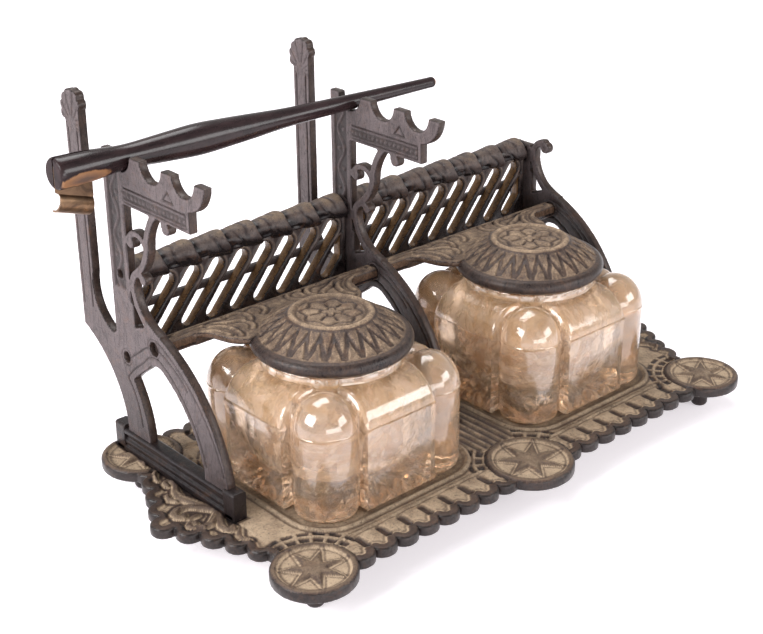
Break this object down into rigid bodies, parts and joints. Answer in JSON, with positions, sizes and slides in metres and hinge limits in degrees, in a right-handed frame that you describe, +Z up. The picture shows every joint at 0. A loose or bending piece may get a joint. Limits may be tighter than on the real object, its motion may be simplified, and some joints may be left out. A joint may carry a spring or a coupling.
{
  "type": "double inkstand",
  "caption": "Cast-iron double inkstand shaped like a garden bench, with hinged domed lids over glass ink wells and a rack holding a penholder.",
  "frame": {"origin": "centre of the whole footprint, on the surface the stand rests on", "axes": "+X runs along the bench to the right seen from the front, +Y points to the back where the tall posts are, +Z is up"},
  "size_m": [0.2514, 0.1452, 0.1446],
  "materials": {
    "tray_iron": "dusty, worn cast iron with a tan bloom",
    "frame_iron": "grey-violet worn black cast iron",
    "panel_iron": "dusty black cast iron, brown on the edges",
    "lid_iron": "dusty cast iron with a dark smooth rim",
    "screw_steel": "dull steel",
    "well_glass": "pressed glass, pale amber pink",
    "penholder_wood": "glossy black lacquer, worn to copper brown near the end",
    "flange_brass": "tarnished brass"
  },
  "bodies": {
    "stand": {"base_tray": "tray_iron", "foot_front_left": "frame_iron", "foot_front_right": "frame_iron", "foot_back_left": "frame_iron", "foot_back_right": "frame_iron", "left_frame": "frame_iron", "middle_frame": "frame_iron", "right_frame": "frame_iron", "left_screw_front": "screw_steel", "left_screw_back": "screw_steel", "middle_screw_front": "screw_steel", "middle_screw_back": "screw_steel", "right_screw_front": "screw_steel", "right_screw_back": "screw_steel", "left_back_panel": "panel_iron", "right_back_panel": "panel_iron", "left_well": "well_glass", "right_well": "well_glass"},
    "left_lid": {"left_lid": "lid_iron"},
    "right_lid": {"right_lid": "lid_iron"},
    "pen": {"penholder": "penholder_wood", "pen_flange": "flange_brass"}
  },
  "joints": [
    {"name": "left_lid_hinge", "type": "hinge", "parent": "stand", "child": "left_lid", "pos_m": [-0.05, 0.0252, 0.0615], "axis": [-1, 0, 0], "range_deg": [0, 93]},
    {"name": "right_lid_hinge", "type": "hinge", "parent": "stand", "child": "right_lid", "pos_m": [0.05, 0.0252, 0.0615], "axis": [-1, 0, 0], "range_deg": [0, 93]},
    {"name": "pen_lift", "type": "slide", "parent": "stand", "child": "pen", "axis": [0, 0, 1], "range_m": [0, 0.04]}
  ]
}
